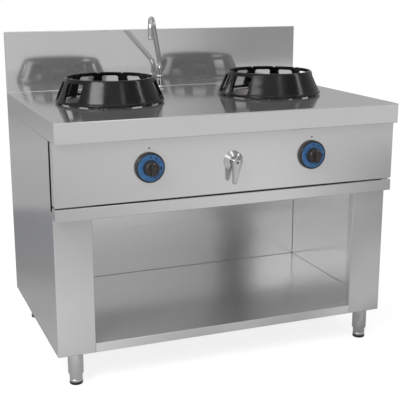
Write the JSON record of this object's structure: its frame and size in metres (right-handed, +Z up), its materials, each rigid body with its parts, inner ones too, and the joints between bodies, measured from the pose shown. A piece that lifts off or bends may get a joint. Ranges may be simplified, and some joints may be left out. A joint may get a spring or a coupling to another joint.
{
  "type": "wok range",
  "caption": "Free-standing stainless steel wok range with open ringed burners, splashback, swivelling water spout, front controls, open storage cabinet and adjustable legs.",
  "frame": {"origin": "centre of the overall box in X and Y, on the floor under the foot pads", "axes": "+X to the right seen from the front, +Y to the back, +Z up"},
  "size_m": [1.2, 0.824, 1.1641],
  "materials": {
    "brushed_stainless": "brushed, half-mirror sheet",
    "cabinet_stainless": "bright, strongly reflecting sheet",
    "polished_stainless": "fine turned and polished",
    "pad_plastic": "moulded, matt",
    "black_enamel": "glossy vitreous enamel on cast iron",
    "bowl_steel": "pressed, heat-dulled",
    "burner_iron": "sand-cast, heat-blackened",
    "valve_brass": "machined",
    "knob_plastic": "satin, fine texture",
    "dial_plastic": "satin blue with dark marks",
    "pipe_copper": "drawn copper, slightly tarnished",
    "dark_steel": "dark, slightly rough",
    "tap_chrome": "mirror-bright plating"
  },
  "bodies": {
    "range": {"worktop": "brushed_stainless", "backsplash": "brushed_stainless", "control_panel": "brushed_stainless", "front_rail": "brushed_stainless", "front_post_left": "brushed_stainless", "front_post_right": "brushed_stainless", "side_panel_left": "brushed_stainless", "side_panel_right": "brushed_stainless", "back_panel": "brushed_stainless", "bottom_shelf": "cabinet_stainless", "cabinet_side_left": "cabinet_stainless", "cabinet_side_right": "cabinet_stainless", "cabinet_back": "cabinet_stainless", "cabinet_ceiling": "cabinet_stainless", "leg_sleeve_front_left": "polished_stainless", "leg_sleeve_front_right": "polished_stainless", "leg_sleeve_rear_left": "polished_stainless", "leg_sleeve_rear_right": "polished_stainless", "spill_bowl_left": "bowl_steel", "burner_head_left": "burner_iron", "mixer_tube_left": "burner_iron", "pilot_burner_left": "valve_brass", "spill_bowl_right": "bowl_steel", "burner_head_right": "burner_iron", "mixer_tube_right": "burner_iron", "pilot_burner_right": "valve_brass", "gas_tap_left": "valve_brass", "gas_pipe_left": "pipe_copper", "gas_tap_right": "valve_brass", "gas_pipe_right": "pipe_copper", "gas_manifold": "dark_steel", "lever_rosette": "tap_chrome", "water_valve": "valve_brass", "water_feed_pipe": "pipe_copper", "water_inlet_pipe": "pipe_copper", "spout_collar": "tap_chrome"},
    "wok_ring_left": {"wok_ring_left": "black_enamel"},
    "burner_crown_left": {"burner_crown_left": "burner_iron"},
    "tap_plug_left": {"tap_plug_left": "valve_brass"},
    "knob_left": {"spindle_left": "polished_stainless", "knob_left": "knob_plastic", "dial_ring_left": "dial_plastic"},
    "foot_front_left": {"leg_foot_front_left": "polished_stainless", "foot_pad_front_left": "pad_plastic"},
    "foot_rear_left": {"leg_foot_rear_left": "polished_stainless", "foot_pad_rear_left": "pad_plastic"},
    "wok_ring_right": {"wok_ring_right": "black_enamel"},
    "burner_crown_right": {"burner_crown_right": "burner_iron"},
    "tap_plug_right": {"tap_plug_right": "valve_brass"},
    "knob_right": {"spindle_right": "polished_stainless", "knob_right": "knob_plastic", "dial_ring_right": "dial_plastic"},
    "foot_front_right": {"leg_foot_front_right": "polished_stainless", "foot_pad_front_right": "pad_plastic"},
    "foot_rear_right": {"leg_foot_rear_right": "polished_stainless", "foot_pad_rear_right": "pad_plastic"},
    "lever": {"lever": "tap_chrome", "lever_cap": "dark_steel"},
    "spout": {"spout": "tap_chrome", "spout_outlet": "tap_chrome"}
  },
  "joints": [
    {"name": "wok_ring_left_lift", "type": "slide", "parent": "range", "child": "wok_ring_left", "axis": [0, 0, 1], "range_m": [0, 0.1]},
    {"name": "burner_crown_left_lift", "type": "slide", "parent": "range", "child": "burner_crown_left", "axis": [0, 0, 1], "range_m": [0, 0.04]},
    {"name": "gas_knob_left_turn", "type": "hinge", "parent": "range", "child": "tap_plug_left", "pos_m": [-0.295, -0.363, 0.72], "axis": [0, 1, 0], "range_deg": [-180, 0]},
    {"name": "gas_knob_left_push", "type": "slide", "parent": "tap_plug_left", "child": "knob_left", "axis": [0, 1, 0], "range_m": [0, 0.004], "stiffness_N_per_m": 1200, "springref_m": -0.002},
    {"name": "wok_ring_right_lift", "type": "slide", "parent": "range", "child": "wok_ring_right", "axis": [0, 0, 1], "range_m": [0, 0.1]},
    {"name": "burner_crown_right_lift", "type": "slide", "parent": "range", "child": "burner_crown_right", "axis": [0, 0, 1], "range_m": [0, 0.04]},
    {"name": "gas_knob_right_turn", "type": "hinge", "parent": "range", "child": "tap_plug_right", "pos_m": [0.279, -0.363, 0.72], "axis": [0, 1, 0], "range_deg": [-180, 0]},
    {"name": "gas_knob_right_push", "type": "slide", "parent": "tap_plug_right", "child": "knob_right", "axis": [0, 1, 0], "range_m": [0, 0.004], "stiffness_N_per_m": 1200, "springref_m": -0.002},
    {"name": "foot_front_left_level", "type": "slide", "parent": "range", "child": "foot_front_left", "axis": [0, 0, -1], "range_m": [0, 0.03]},
    {"name": "foot_front_right_level", "type": "slide", "parent": "range", "child": "foot_front_right", "axis": [0, 0, -1], "range_m": [0, 0.03]},
    {"name": "foot_rear_left_level", "type": "slide", "parent": "range", "child": "foot_rear_left", "axis": [0, 0, -1], "range_m": [0, 0.03]},
    {"name": "foot_rear_right_level", "type": "slide", "parent": "range", "child": "foot_rear_right", "axis": [0, 0, -1], "range_m": [0, 0.03]},
    {"name": "water_lever_turn", "type": "hinge", "parent": "range", "child": "lever", "pos_m": [-0.008, -0.363, 0.72], "axis": [0, 1, 0], "range_deg": [0, 90]},
    {"name": "spout_swivel", "type": "hinge", "parent": "range", "child": "spout", "pos_m": [-0.008, 0.36, 0.88], "axis": [0, 0, 1], "range_deg": [-65, 115]}
  ]
}
